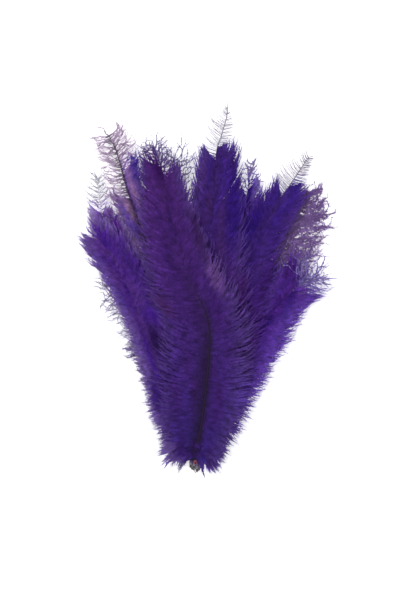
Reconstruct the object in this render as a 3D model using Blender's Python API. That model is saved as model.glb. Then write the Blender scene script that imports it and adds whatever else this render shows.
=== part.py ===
"""A tied bunch of twelve dyed ostrich plumes, lying flat on a surface.

Each plume is one closed solid: a round quill that runs on as the shaft, with a
thin vane on each side whose barbs hang together in pointed locks. The plumes fan
out from a band of wound thread and lie over each other in six layers. The vanes
of the topmost plume, which has nothing lying on it, arch up on both sides.
Metres, +Z up. +Y runs from the quill ends to the tips.
"""

import math
from collections import namedtuple

import bmesh
import bpy
from mathutils import Vector
from mathutils.geometry import convex_hull_2d, intersect_point_line

MM = 0.001

# Quills and shafts
QUILL_RADIUS = 1.45 * MM
TIP_RADIUS = 0.40 * MM
TAPER = 0.9
CUT_SLOPE = 0.8
SIDES = 8
BARE_SECTIONS = (0, 0.35, 0.7, 1)

# Vanes: 20 locks on each side of a shaft
LOCKS_PER_SIDE = 20
NOTCH_DEPTH = 0.20
LOCK_UNEVENNESS = 0.05
VANE_ROOT = 0.9
VANE_THICKNESS = 1.0 * MM
VANE_THICKNESS_AT_TIP = 0.5 * MM
VANE_START_GAP = 3 * MM
VANE_END_GAP = 1 * MM

# The vanes of the topmost plume rise by this much halfway out, for a barb of this length
ARCH_HEIGHT = 6.0 * MM
ARCH_REACH = 60 * MM
ARCH_SIDES = 12

# Layers: the gap between two of them, near the tie and at its largest
GAP_AT_TIE = 3.3 * MM
GAP_SWELL = 1.6 * MM
GAP_SWELL_LENGTH = 260 * MM
GAP_FALL_TO_SIDE = 0.3
FAN_HALF_WIDTH = 130 * MM
CLEARANCE = 0.3 * MM
ROUNDING = 0.01 * MM

# A barb that would cross a neighbour in its own layer is shortened in these steps
SHORTENING = 0.9
MOST_SHORTENINGS = 24

# The tie
THREAD_THICKNESS = 0.5 * MM
THREAD_VALLEY = 0.6
THREAD_TURNS = 6
BAND_WIDTH = 6.0 * MM
SLOT_PITCH = 2 * QUILL_RADIUS + CLEARANCE
ROW_PITCH = SLOT_PITCH * math.sqrt(3) / 2
FIRST_ROW = THREAD_THICKNESS + CLEARANCE + QUILL_RADIUS
SPREAD_START = 3 * MM
SPREAD_END = 24 * MM
LAYERS_REACHED = 20 * MM

# slot: place in the tie, as (half pitches to the right, row).
# quill: length below the tie in mm. start: where the vane starts, in mm above the tie.
# shaft: points from the tie to the tip, in mm.
# left, right: barb lengths in mm at the base, the middle and the top.
# angle: between barb and shaft, in degrees, at the base on the left and on the right,
# then in the middle and at the top.
# wisp: the share of the length where the full vane ends, and the barb lengths past it
# on the left and on the right.
Plume = namedtuple("Plume", "name layer slot quill start shaft left right angle wisp colour")

PLUMES = [
    Plume(
        "lower_left_plume", 0, (-3, 0), 9.0, 10,
        [(0, 0), (-22, 50), (-44, 95), (-66, 135), (-84, 162), (-92, 174)],
        (44, 22, 34), (26, 26, 24), (132, 132, 66, 36), (0.90, 26, 26), "47306A",
    ),
    Plume(
        "back_left_plume", 0, (-1, 0), 12.0, 30,
        [(0, 0), (-8, 100), (-12, 180), (-15, 250), (-22, 302)],
        (40, 38, 30), (40, 40, 46), (90, 90, 45, 30), (0.88, 28, 30), "7B5C98",
    ),
    Plume(
        "right_curly_plume", 0, (3, 0), 10.0, 20,
        [(0, 0), (32, 78), (62, 148), (82, 190), (92, 215), (103, 240), (112, 262)],
        (28, 30, 20), (26, 52, 57), (96, 96, 58, 38), (0.95, 34, 34), "8E6A9C",
    ),
    Plume(
        "back_right_plume", 1, (1, 0), 13.0, 30,
        [(0, 0), (25, 100), (42, 180), (51, 255), (56, 296)],
        (38, 38, 28), (38, 38, 30), (90, 90, 42, 24), (0.88, 26, 26), "7B5C98",
    ),
    Plume(
        "left_pale_plume", 1, (-2, 1), 11.0, 26,
        [(0, 0), (-30, 80), (-58, 150), (-82, 205), (-95, 250), (-99, 282)],
        (28, 30, 32), (30, 30, 22), (90, 90, 48, 34), (0.85, 24, 18), "9C8BB0",
    ),
    Plume(
        "right_low_plume", 1, (4, 1), 9.0, 10,
        [(0, 0), (26, 62), (53, 110), (80, 148), (104, 171), (121, 181)],
        (28, 30, 44), (42, 39, 44), (134, 134, 66, 18), (0.93, 40, 40), "4A2C88",
    ),
    Plume(
        "left_tall_plume", 2, (0, 1), 14.0, 30,
        [(0, 0), (-10, 58), (-25, 128), (-40, 183), (-53.5, 227), (-67, 264), (-79.5, 307), (-87.5, 324)],
        (42, 38, 26), (42, 38, 36), (90, 90, 46, 30), (0.80, 25, 25), "70508E",
    ),
    Plume(
        "right_plume", 2, (2, 1), 12.0, 30,
        [(0, 0), (19, 78), (42, 158), (59.5, 213), (80.5, 251), (98.5, 279), (114, 302)],
        (40, 46, 28), (40, 46, 38), (90, 90, 46, 24), (0.86, 23, 14), "3E2070",
    ),
    Plume(
        "left_middle_plume", 3, (-1, 2), 10.0, 26,
        [(0, 0), (-28, 90), (-55, 170), (-76, 222), (-87, 248)],
        (30, 28, 20), (30, 28, 20), (90, 90, 46, 24), (0.92, 16, 16), "4B2A8A",
    ),
    Plume(
        "centre_tall_plume", 3, (1, 2), 13.0, 26,
        [(0, 0), (8, 60), (13, 130), (14.5, 196), (18.5, 252), (21, 305), (26, 323), (32, 345)],
        (44, 54, 40), (48, 58, 38), (90, 90, 40, 20), (0.85, 22, 12), "3B1E75",
    ),
    Plume(
        "left_low_plume", 4, (-3, 2), 9.0, 22,
        [(0, 0), (-25, 68), (-54, 142), (-80, 194), (-97, 220)],
        (36, 36, 46), (40, 46, 38), (112, 112, 60, 28), (0.95, 28, 28), "3E2078",
    ),
    Plume(
        "front_plume", 5, (0, 3), 5.5, 6,
        [(0, 0), (8.5, 53), (14, 112), (11.5, 142), (-4, 176), (-19, 218), (-33, 285), (-42, 313)],
        (54, 62, 40), (54, 49, 44), (112, 150, 52, 24), (0.92, 34, 34), "41256E",
    ),
]

TOP_LAYER = max(plume.layer for plume in PLUMES)


def clear_scene():
    for old in list(bpy.data.objects):
        bpy.data.objects.remove(old, do_unlink=True)


def linear(hex_colour):
    """An sRGB hex colour as the linear values that a shader takes."""
    channels = [int(hex_colour[i : i + 2], 16) / 255 for i in (0, 2, 4)]
    return [c / 12.92 if c <= 0.04045 else ((c + 0.055) / 1.055) ** 2.4 for c in channels]


def material(name, hex_colour, roughness):
    made = bpy.data.materials.new(name)
    made.use_nodes = True
    shader = made.node_tree.nodes["Principled BSDF"]
    shader.inputs["Base Color"].default_value = (*linear(hex_colour), 1)
    shader.inputs["Roughness"].default_value = roughness
    shader.inputs["Metallic"].default_value = 0
    made.diffuse_color = (*linear(hex_colour), 1)
    return made


def ease(value, start, end):
    """0 before start, 1 past end, and a smooth rise between them."""
    share = min(1, max(0, (value - start) / (end - start)))
    return share * share * (3 - 2 * share)


def through_three(values, share):
    """The parabola through three values given at 0, a half and 1."""
    base, middle, top = values
    return (
        base * (1 - share) * (1 - 2 * share)
        + middle * 4 * share * (1 - share)
        + top * share * (2 * share - 1)
    )


def curve_point(points, index, share):
    """A point on the smooth curve that runs through all the points."""
    last = len(points) - 1
    before = points[max(index - 1, 0)]
    here = points[index]
    after = points[min(index + 1, last)]
    beyond = points[min(index + 2, last)]
    return 0.5 * (
        2 * here
        + (after - before) * share
        + (2 * before - 5 * here + 4 * after - beyond) * share**2
        + (3 * here - before - 3 * after + beyond) * share**3
    )


def shaft_line(plume, steps=12):
    """The shaft in plan: straight through the tie, then out along its own curve."""
    points = [Vector(point) * MM for point in plume.shaft]
    slot_x = plume.slot[0] * SLOT_PITCH / 2
    line = [Vector((slot_x, -plume.quill * MM))]
    for index in range(len(points) - 1):
        for step in range(steps):
            point = curve_point(points, index, step / steps)
            in_slot = slot_x * (1 - ease(point.y, SPREAD_START, SPREAD_END))
            fanned = point.x * ease(point.y, 0, SPREAD_END / 2)
            line.append(Vector((in_slot + fanned, point.y)))
    return line + [points[-1]]


def at_length(line, length):
    """The point and the direction at a length along a line of points."""
    for first, second in zip(line, line[1:]):
        step = (second - first).length
        if length <= step or second is line[-1]:
            direction = (second - first) / step
            return first + direction * min(length, step), direction
        length -= step


def line_length(line):
    return sum((second - first).length for first, second in zip(line, line[1:]))


def layer_height(layer, place):
    """The height of a layer's middle above the surface, at a place in plan."""
    swell = math.sin(math.pi * place.length / GAP_SWELL_LENGTH)
    side = 1 - GAP_FALL_TO_SIDE * (place.x / FAN_HALF_WIDTH) ** 2
    return QUILL_RADIUS + layer * (GAP_AT_TIE + GAP_SWELL * swell) * side


def shaft_radius(share):
    return TIP_RADIUS + (QUILL_RADIUS - TIP_RADIUS) * (1 - share) ** TAPER


def row_height(plume):
    return FIRST_ROW + plume.slot[1] * ROW_PITCH


def shaft_height(plume, place, radius):
    """The height of the shaft's middle: its row in the tie, then its layer."""
    lying = radius if plume.layer == 0 else layer_height(plume.layer, place)
    return row_height(plume) + (lying - row_height(plume)) * ease(place.y, SPREAD_START, LAYERS_REACHED)


def barb_angle(plume, side, share):
    left_base, right_base, middle, top = plume.angle
    base = left_base if side > 0 else right_base
    return math.radians(through_three((base, middle, top), share))


def barb_length(plume, side, share):
    full = through_three(plume.left if side > 0 else plume.right, share)
    at_base = 0.75 + 0.25 * ease(share, 0, 0.2)
    wisp_start, left_wisp, right_wisp = plume.wisp
    wisp_length = left_wisp if side > 0 else right_wisp
    past = ease(share, wisp_start - 0.1, wisp_start + 0.01)
    at_tip = 1 - 0.3 * ease(share, 0.9, 1)
    return (full + (wisp_length - full) * past) * at_base * at_tip * MM


def lock_rim(plume, station, side):
    """How far out a section reaches: points and notches by turns, a little uneven."""
    if (station % 2 == 0) != (side > 0):
        return 1 - NOTCH_DEPTH
    return 1 + LOCK_UNEVENNESS * math.sin(2.7 * station + 5 * plume.layer + side)


def distance_to(line, place):
    """The shortest distance in plan from a place to a line of points."""
    shortest = math.inf
    for first, second in zip(line, line[1:]):
        on_line, share = intersect_point_line(place, first, second)
        foot = first.lerp(second, min(1, max(0, share)))
        shortest = min(shortest, (foot - place).length)
    return shortest


def lock_edge(place, direction, side, plume, share, rim, neighbours, own_line):
    """Where a barb from this place of the shaft ends, short of a neighbour in its layer."""
    angle = barb_angle(plume, side, share)
    across = Vector((-direction.y, direction.x)) * side
    barb = across * math.sin(angle) + direction * math.cos(angle)
    reach = barb_length(plume, side, share) * rim
    for shortening in range(MOST_SHORTENINGS):
        edge = place + barb * reach * SHORTENING**shortening
        room = min((distance_to(line, edge) for line in neighbours), default=math.inf)
        if room > distance_to(own_line, edge) + 2 * CLEARANCE:
            break
    return edge


def quill_ring(place, height, radius, slope, sides):
    """A section of the quill, its top set back by the slope of the cut."""
    ring = []
    for corner in range(sides):
        turn = math.pi / 2 + corner * 2 * math.pi / sides
        up = radius * math.sin(turn)
        ring.append(Vector((place.x + radius * math.cos(turn), place.y + slope * up, height + up)))
    return ring


def at_height(place, height):
    return Vector((place.x, place.y, height))


def flat_section(place, direction, height, radius, thickness, edges, edge_heights, floor):
    """A section of a plume: the shaft in the middle and a thin wedge on each side."""
    left = Vector((-direction.y, direction.x)) * radius * VANE_ROOT
    bottom = height - radius
    root_bottom = height - thickness / 2
    if floor is not None:
        bottom = floor
        root_bottom = floor
    root_top = root_bottom + thickness
    return [
        at_height(place, height + radius),
        at_height(place + left, root_top),
        at_height(edges[0], edge_heights[0]),
        at_height(place + left, root_bottom),
        at_height(place, bottom),
        at_height(place - left, root_bottom),
        at_height(edges[1], edge_heights[1]),
        at_height(place - left, root_top),
    ]


def arched_section(place, direction, height, radius, thickness, edges, edge_heights):
    """A section of the topmost plume, whose vanes rise halfway out and come down again."""
    flat = flat_section(place, direction, height, radius, thickness, edges, edge_heights, None)
    top, left_top, left_edge, left_bottom, bottom, right_bottom, right_edge, right_top = flat
    section = [top]
    for root, edge, other_root, after in (
        (left_top, left_edge, left_bottom, bottom),
        (right_bottom, right_edge, right_top, None),
    ):
        reach = (edge.xy - place).length
        rise = Vector((0, 0, ARCH_HEIGHT * reach / ARCH_REACH))
        section += [root, (root + edge) / 2 + rise, edge, (other_root + edge) / 2 + rise, other_root]
        section += [after] if after else []
    return section


def plume_sections(plume, lines):
    """All sections of a plume, from the cut end of the quill to the tip."""
    line = lines[plume.name]
    neighbours = [lines[p.name] for p in PLUMES if p.layer == plume.layer and p is not plume]
    whole = line_length(line)
    quill = plume.quill * MM
    start = quill + plume.start * MM
    on_floor = plume.layer == 0
    on_top = plume.layer == TOP_LAYER
    sides = ARCH_SIDES if on_top else SIDES

    sections = [quill_ring(line[0], row_height(plume), QUILL_RADIUS, CUT_SLOPE, sides)]
    past_tie = quill + SPREAD_START
    for share in BARE_SECTIONS:
        length = past_tie + (start - past_tie) * share
        place, direction = at_length(line, length)
        radius = shaft_radius(length / whole)
        sections.append(quill_ring(place, shaft_height(plume, place, radius), radius, 0, sides))

    stations = 2 * LOCKS_PER_SIDE
    vane = whole - start - VANE_START_GAP - VANE_END_GAP
    for station in range(stations):
        share = (station + 0.5) / stations
        length = start + VANE_START_GAP + vane * share
        place, direction = at_length(line, length)
        radius = shaft_radius(length / whole)
        height = shaft_height(plume, place, radius)
        thickness = VANE_THICKNESS + (VANE_THICKNESS_AT_TIP - VANE_THICKNESS) * share
        edges = []
        for side in (1, -1):
            rim = lock_rim(plume, station, side)
            edges.append(lock_edge(place, direction, side, plume, share, rim, neighbours, line))
        heights = [0 if on_floor else layer_height(plume.layer, edge) for edge in edges]
        if on_top:
            sections.append(arched_section(place, direction, height, radius, thickness, edges, heights))
            continue
        floor = 0 if on_floor and height - radius < ROUNDING else None
        sections.append(flat_section(place, direction, height, radius, thickness, edges, heights, floor))
    return sections


def skin(mesh, sections, tip):
    """Joins the sections in order, with a flat cap at the quill end and a point at the tip."""
    rows = [[mesh.verts.new(point) for point in section] for section in sections]
    count = len(rows[0])
    mesh.faces.new(rows[0])
    for first, second in zip(rows, rows[1:]):
        for corner in range(count):
            after = (corner + 1) % count
            mesh.faces.new((first[corner], second[corner], second[after], first[after]))
    point = mesh.verts.new(tip)
    for corner in range(count):
        mesh.faces.new((rows[-1][corner], point, rows[-1][(corner + 1) % count]))


def add_object(name, mesh, finish):
    bmesh.ops.triangulate(mesh, faces=mesh.faces)
    bmesh.ops.recalc_face_normals(mesh, faces=mesh.faces)
    data = bpy.data.meshes.new(name)
    mesh.to_mesh(data)
    mesh.free()
    data.materials.append(finish)
    made = bpy.data.objects.new(name, data)
    bpy.context.scene.collection.objects.link(made)
    return made


def make_plume(plume, lines):
    tip = lines[plume.name][-1]
    tip_height = TIP_RADIUS if plume.layer == 0 else layer_height(plume.layer, tip)
    mesh = bmesh.new()
    skin(mesh, plume_sections(plume, lines), at_height(tip, tip_height))
    finish = material(plume.name + "_barbs", plume.colour, 0.9)
    return add_object(plume.name, mesh, finish)


def bundle_outline(offset, points_per_quill=12):
    """The outline of a thread pulled tight round all the quills, at an offset from them."""
    around = []
    for plume in PLUMES:
        centre = Vector((plume.slot[0] * SLOT_PITCH / 2, row_height(plume)))
        for corner in range(points_per_quill):
            turn = 2 * math.pi * corner / points_per_quill
            around.append(centre + (QUILL_RADIUS + offset) * Vector((math.cos(turn), math.sin(turn))))
    return [around[index] for index in convex_hull_2d(around)]


def make_tie():
    """Turns of thread side by side: a ring with one rounded ridge for each turn."""
    inner = bundle_outline(CLEARANCE)
    valley = bundle_outline(CLEARANCE + THREAD_VALLEY * THREAD_THICKNESS)
    crest = bundle_outline(CLEARANCE + THREAD_THICKNESS)
    width = BAND_WIDTH / THREAD_TURNS
    profile = [(inner, BAND_WIDTH / 2), (inner, -BAND_WIDTH / 2)]
    for turn in range(THREAD_TURNS):
        low = -BAND_WIDTH / 2 + turn * width
        profile.append((valley, low))
        profile.append((crest, low + width / 2))
    profile.append((valley, BAND_WIDTH / 2))
    mesh = bmesh.new()
    rows = [[mesh.verts.new((p.x, along, p.y)) for p in outline] for outline, along in profile]
    count = len(rows[0])
    for first, second in zip(rows, rows[1:] + rows[:1]):
        for corner in range(count):
            after = (corner + 1) % count
            mesh.faces.new((first[corner], second[corner], second[after], first[after]))
    return add_object("binding_thread", mesh, material("binding_thread", "2B2440", 0.8))


def centre_over_origin(pieces):
    """Moves the bunch so that the middle of its underside is the origin."""
    corners = [vertex.co for piece in pieces for vertex in piece.data.vertices]
    middle_x = (min(c.x for c in corners) + max(c.x for c in corners)) / 2
    middle_y = (min(c.y for c in corners) + max(c.y for c in corners)) / 2
    for piece in pieces:
        for vertex in piece.data.vertices:
            vertex.co.x -= middle_x
            vertex.co.y -= middle_y
    print(f"the tie is at x {-middle_x / MM:.2f} mm, y {-middle_y / MM:.2f} mm")


def main():
    clear_scene()
    lines = {plume.name: shaft_line(plume) for plume in PLUMES}
    pieces = [make_plume(plume, lines) for plume in PLUMES]
    pieces.append(make_tie())
    centre_over_origin(pieces)


main()
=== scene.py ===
# %% [markdown]
# # A tied bunch of dyed ostrich plumes
# Twelve violet plumes fan out from a wound thread and lie flat on a pale surface.
# Each plume is a shaft with two rows of long soft barbs, and each barb carries two
# rows of tiny barbules, which give the plume its fluff.
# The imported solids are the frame: every plume made here takes its place from them.

# %% Load the frame
import math
import random
from collections import namedtuple
from functools import partial

import bpy
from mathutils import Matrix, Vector
from mathutils.geometry import convex_hull_2d


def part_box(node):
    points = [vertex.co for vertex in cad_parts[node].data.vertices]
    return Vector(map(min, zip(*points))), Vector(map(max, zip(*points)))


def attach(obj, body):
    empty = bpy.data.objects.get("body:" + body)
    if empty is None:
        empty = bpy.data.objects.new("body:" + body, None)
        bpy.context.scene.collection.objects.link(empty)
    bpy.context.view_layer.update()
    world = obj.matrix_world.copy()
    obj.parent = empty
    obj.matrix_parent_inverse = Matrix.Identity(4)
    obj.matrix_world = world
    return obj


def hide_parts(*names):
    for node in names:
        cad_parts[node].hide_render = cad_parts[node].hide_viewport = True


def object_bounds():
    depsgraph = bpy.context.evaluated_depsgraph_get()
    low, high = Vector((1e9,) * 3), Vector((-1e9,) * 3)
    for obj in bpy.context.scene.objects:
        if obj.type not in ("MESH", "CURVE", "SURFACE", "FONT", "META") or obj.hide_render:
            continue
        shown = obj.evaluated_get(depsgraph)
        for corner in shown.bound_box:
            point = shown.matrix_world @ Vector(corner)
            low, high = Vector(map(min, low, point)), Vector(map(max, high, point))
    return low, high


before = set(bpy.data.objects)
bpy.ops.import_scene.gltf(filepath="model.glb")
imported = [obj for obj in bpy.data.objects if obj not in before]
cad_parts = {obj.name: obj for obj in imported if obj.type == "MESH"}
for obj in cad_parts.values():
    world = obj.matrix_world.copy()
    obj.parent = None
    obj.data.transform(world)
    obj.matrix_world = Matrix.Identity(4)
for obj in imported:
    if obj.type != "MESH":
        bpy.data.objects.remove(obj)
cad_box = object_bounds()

MM = 0.001
corners = [tuple(round(v, 3) for v in corner) for corner in cad_box]
print("solids:", len(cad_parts), "box in m:", corners)

# %% [markdown]
# ## Where everything starts
# All quills pass through the tie, so its solid gives the place that the plumes are
# measured from. The quills reach a little further to the right in it than to the left,
# so the middle of its box is a quarter of a quill's pitch off that place.

# %% Find the tie in the frame
QUILL_RADIUS = 1.45 * MM
TIP_RADIUS = 0.40 * MM
CLEARANCE = 0.3 * MM
THREAD_THICKNESS = 0.5 * MM
SLOT_PITCH = 2 * QUILL_RADIUS + CLEARANCE
ROW_PITCH = SLOT_PITCH * math.sqrt(3) / 2
FIRST_ROW = THREAD_THICKNESS + CLEARANCE + QUILL_RADIUS
tie_low, tie_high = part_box("binding_thread")
TIE = Vector((
    (tie_low[0] + tie_high[0]) / 2 - SLOT_PITCH / 4,
    (tie_low[1] + tie_high[1]) / 2,
))
print("tie at", round(TIE.x / MM, 2), round(TIE.y / MM, 2), "mm")

# %% [markdown]
# ## The plumes
# A plume is set out by a few measures of its place, its shaft and its barbs. The solids
# were made from nearly the same ones, so each plume lies in its solid and its barbs
# reach about as far.

# %% The measures of each plume
# slot: half pitches to the right, and row. quill: length below the tie, in mm.
# start: where the solid's vane starts. shaft: points in mm from the tie.
# left, right: barb lengths in mm at the base, the middle and the top.
# angle: between barb and shaft, in degrees, at the base on the left and on the right,
# then in the middle and at the top.
# wisp: the share of the length where the full vane ends on the left and on the right,
# the barb lengths past it on the left and on the right, and how bare the very tip is.
Plume = namedtuple("Plume", "name layer slot quill start shaft left right angle wisp")

PLUMES = [
    Plume(
        "lower_left_plume", 0, (-3, 0), 9, 10,
        [(0, 0), (-22, 50), (-44, 95), (-66, 135), (-84, 162), (-92, 174)],
        (44, 22, 34), (26, 26, 24), (132, 132, 66, 56), ((0.6, 0.6), 28, 26, 0.1),
    ),
    Plume(
        "back_left_plume", 0, (-1, 0), 12, 30,
        [(0, 0), (-8, 100), (-12, 180), (-15, 250), (-22, 302)],
        (40, 40, 36), (40, 36, 46), (90, 90, 48, 38), ((0.86, 0.78), 44, 46, 0.1),
    ),
    Plume(
        "right_curly_plume", 0, (3, 0), 10, 20,
        [(0, 0), (32, 78), (62, 148), (82, 190), (92, 215), (103, 240), (112, 262)],
        (28, 30, 20), (26, 60, 60), (96, 96, 62, 40), ((0.66, 0.66), 22, 60, 0.5),
    ),
    Plume(
        "back_right_plume", 1, (1, 0), 13, 30,
        [(0, 0), (25, 100), (42, 180), (51, 255), (56, 296)],
        (38, 38, 28), (38, 40, 30), (90, 90, 42, 24), ((0.86, 0.89), 26, 26, 0.6),
    ),
    Plume(
        "left_pale_plume", 1, (-2, 1), 11, 26,
        [(0, 0), (-30, 80), (-58, 150), (-82, 205), (-95, 250), (-99, 282)],
        (28, 30, 32), (30, 30, 22), (90, 90, 48, 34), ((0.85, 0.85), 24, 18, 0.3),
    ),
    Plume(
        "right_low_plume", 1, (4, 1), 9, 10,
        [(0, 0), (26, 62), (53, 110), (80, 148), (104, 171), (121, 181)],
        (28, 30, 52), (37, 41, 38), (134, 134, 66, 28), ((0.85, 0.85), 54, 42, 0.2),
    ),
    Plume(
        "left_tall_plume", 2, (0, 1), 14, 30,
        [(0, 0), (-10, 58), (-25, 128), (-40, 183), (-53.5, 227), (-67, 264), (-79.5, 307),
         (-87.5, 324)],
        (42, 38, 26), (42, 38, 36), (90, 90, 46, 30), ((0.76, 0.85), 33, 34, 0.1),
    ),
    Plume(
        "right_plume", 2, (2, 1), 12, 30,
        [(0, 0), (19, 78), (42, 158), (59.5, 213), (80.5, 251), (98.5, 279), (114, 302)],
        (40, 46, 28), (40, 46, 38), (90, 90, 46, 24), ((0.82, 0.87), 28, 19, 0.6),
    ),
    Plume(
        "left_middle_plume", 3, (-1, 2), 10, 26,
        [(0, 0), (-28, 90), (-55, 170), (-76, 222), (-87, 248)],
        (30, 28, 20), (30, 28, 20), (90, 90, 46, 24), ((0.92, 0.92), 16, 16, 0.5),
    ),
    Plume(
        "centre_tall_plume", 3, (1, 2), 13, 26,
        [(0, 0), (8, 60), (13, 130), (14.5, 196), (18.5, 252), (21, 305), (26, 323),
         (31.5, 343), (32.5, 356)],
        (44, 49, 40), (48, 58, 46), (90, 90, 40, 20), ((0.81, 0.84), 28, 16, 0.9),
    ),
    Plume(
        "left_low_plume", 4, (-3, 2), 9, 22,
        [(0, 0), (-25, 68), (-54, 142), (-80, 194), (-97, 220)],
        (46, 24, 54), (40, 46, 38), (112, 112, 60, 24), ((0.95, 0.95), 33, 36, 0.2),
    ),
    Plume(
        "front_plume", 5, (0, 3), 5.5, 6,
        [(0, 0), (8.5, 53), (14, 112), (11.5, 142), (-4, 176), (-19, 218), (-33, 285), (-42, 313)],
        (54, 62, 36), (48, 49, 35), (112, 122, 52, 30), ((0.91, 0.87), 34, 34, 0.2),
    ),
]
print("plumes:", len(PLUMES))

# %% [markdown]
# Plumes also differ in how fluffy and how unruly they are, and in how the dye took. At
# the top many run out into a wisp of sparse, pale barbs. Those low in the bunch are
# mostly covered, so they get fewer barbs.

# %% The look of each plume
# barbs: on each side. barbules: on each barb. loose: how far barbs stray on the left, on
# the right and in the wisp. curl: degrees that their ends turn.
# missing, fluff, spread: in the wisp, the share of barbs that is gone, the length of
# the barbules against the full one, and the degrees by which barbs stand further out.
# dye: colours near the tie, near the tip, where the dye took differently, and at the
# ends of the barbs.
# wisp_dye: colour of the wisp. fade: how far out the barbs start to take on the colour
# of their ends, on the left and on the right. shaft_dye: colours of the shaft, of its
# tip and of the painted highlight along its groove. cover: how high above the shaft's
# middle the barbs start, in radii, at the base and at the top: at 0 the shaft shows,
# and at 1 they lie over it; it also sets how dark the painted shade at the shaft is.
# slot: the material slot. mouth: colour of the quill's rim, and inside it.
Look = namedtuple(
    "Look",
    "barbs barbules loose curl missing fluff spread dye wisp_dye fade shaft_dye cover slot mouth",
    defaults=[("A09CA4", "4A4248")],
)

LOOKS = {
    "lower_left_plume": Look(
        200, 64, (1.4, 0.3, 2.6), 40, 0.2, 0.35, 10,
        ("3E2478", "6A4A98", "4C3080", "A298B4"), "8A7EA8", (0.3, 0.3),
        ("2C2040", "6A5A80", "2C2040"), (1, 1), "violet_barbs",
    ),
    "back_left_plume": Look(
        260, 80, (0.3, 0.8, 1.8), 70, 0.2, 0.4, 10,
        ("44287C", "54308A", "3A2890", "6A5A8C"), "6A5C90", (0.4, 0.4),
        ("44287C", "4A3868", "44287C"), (1, 1), "lilac_barbs",
    ),
    "right_curly_plume": Look(
        330, 85, (0.2, 1.1, 2.4), 90, 0, 1.2, 4,
        ("3E2080", "794FFF", "8E57DC", "8C78A8"), "7A5E98", (0.3, 0.3),
        ("8A6CA4", "A890BC", "B09CC0"), (0.5, 0.5), "plum_barbs",
    ),
    "back_right_plume": Look(
        250, 90, (0.35, 0.6, 2), 60, 0.45, 0.45, 15,
        ("44287C", "653AB5", "4424B1", "9484AC"), "8C80B0", (0.3, 0.2),
        ("44287C", "7A6A90", "44287C"), (1, 1), "lilac_barbs",
    ),
    "left_pale_plume": Look(
        250, 70, (0.3, 0.3, 1), 30, 0, 0.3, 15,
        ("503090", "9060C9", "6231A0", "B8B0C8"), "A8A6B4", (0.2, 0.2),
        ("4C3A80", "D8D4DE", "4C3A80"), (0.6, 0.6), "lilac_barbs",
    ),
    "right_low_plume": Look(
        360, 115, (0.3, 0.5, 2.2), 30, 0.05, 0.45, 14,
        ("3D0F9D", "5B2B91", "37177F", "7A54C2"), "8070B0", (0.2, 0.1),
        ("4A2C8C", "6A5088", "4A2C8C"), (1.3, 1.3), "violet_barbs",
    ),
    "left_tall_plume": Look(
        380, 110, (0.4, 0.3, 1.2), 80, 0.05, 0.45, 30,
        ("54308A", "B388C2", "5934B4", "7C6890"), "AC96B4", (0.2, 0.3),
        ("30203C", "3C2840", "30203C"), (0, 0), "plum_barbs", ("A8A4AA", "F4F0EC"),
    ),
    "right_plume": Look(
        360, 125, (0.12, 0.15, 0.2), 20, 0.05, 0.2, 38,
        ("490E50", "3B2492", "482880", "5C389C"), "9C94A8", (0.5, 0.6),
        ("3A2480", "8C8498", "3A2480"), (0.9, 0.9), "indigo_barbs",
    ),
    "left_middle_plume": Look(
        215, 80, (0.3, 0.3, 0.8), 40, 0.5, 0.6, 15,
        ("44248A", "5C229C", "62228F", "9080A8"), "7A5A98", (0.2, 0.3),
        ("44287C", "4A3868", "44287C"), (1, 1), "indigo_barbs",
    ),
    "centre_tall_plume": Look(
        410, 125, (0.12, 0.12, 0.25), 24, 0.08, 0.15, 40,
        ("5E2F6F", "38208B", "492870", "60469E"), "9C94A8", (0.4, 0.5),
        ("34207A", "948EA0", "34207A"), (1.2, 1.2), "indigo_barbs",
    ),
    "left_low_plume": Look(
        340, 120, (0.25, 0.2, 0.6), 24, 0.2, 0.8, 8,
        ("46277C", "603596", "4A1F95", "876EB3"), "5A3E98", (0.3, 0.5),
        ("44267C", "44267C", "44267C"), (1.4, 1.4), "indigo_barbs",
    ),
    "front_plume": Look(
        420, 150, (0.2, 0.16, 2), 30, 0.15, 0.35, 10,
        ("3B267D", "58297E", "452175", "5C458D"), "6E5E94", (0.6, 0.4),
        ("201430", "34244A", "3C2C54"), (0, 1.3), "violet_barbs", ("C4607C", "6A1C2C"),
    ),
}

# %% [markdown]
# Dye never takes evenly. Here and there a plume is darker, partly from dye that has gone
# plum or maroon and partly from painted shade where vanes lie thick over one another,
# and in a few places it has stayed paler.

# %% Where the dye took differently, and painted shade
# A list for each plume: place along it, place across it from 0 at the right edge over
# 0.5 at the shaft to 1 at the left edge, half length, half width, colour.
# Dark patches here are partly painted shade where vanes lie thick over one another.
DYE_AND_SHADE_PATCHES = {
    "left_tall_plume": [
        (0.76, 0.59, 0.05, 0.1, "BB90C0"),
        (0.84, 0.16, 0.09, 0.24, "4A30A0"),
    ],
    "right_low_plume": [(0.86, 0.78, 0.1, 0.18, "451B7C")],
    "right_plume": [
        (0.71, 0.7, 0.09, 0.18, "30127A"),
        (0.84, 0.39, 0.05, 0.09, "4D2D92"),
        (0.56, 0.17, 0.07, 0.12, "3B196C"),
    ],
    "back_right_plume": [(0.88, 0.44, 0.1, 0.2, "3A1A86")],
    "centre_tall_plume": [
        (0.66, 0.22, 0.16, 0.17, "32147A"),
        (0.43, 0.16, 0.08, 0.13, "461F71"),
    ],
    "left_low_plume": [
        (0.78, 0.24, 0.18, 0.18, "482385"),
        (0.53, 0.44, 0.09, 0.14, "2E1258"),
        (0.34, 0.75, 0.1, 0.14, "40207A"),
    ],
    "front_plume": [
        (0.64, 0.17, 0.1, 0.12, "402062"),
        (0.52, 0.2, 0.06, 0.12, "6C4890"),
        (0.25, 0.13, 0.05, 0.09, "5C3EA0"),
        (0.48, 0.84, 0.07, 0.1, "472567"),
        (0.92, 0.6, 0.09, 0.2, "3E1264"),
    ],
}

# %% [markdown]
# ## The shaft of a plume
# The shaft is a smooth curve through its points. Near the tie it keeps to its own
# place among the quills, then it fans out and settles into its layer. Layers are
# closer together at the tips and at the sides than in the middle.

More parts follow.
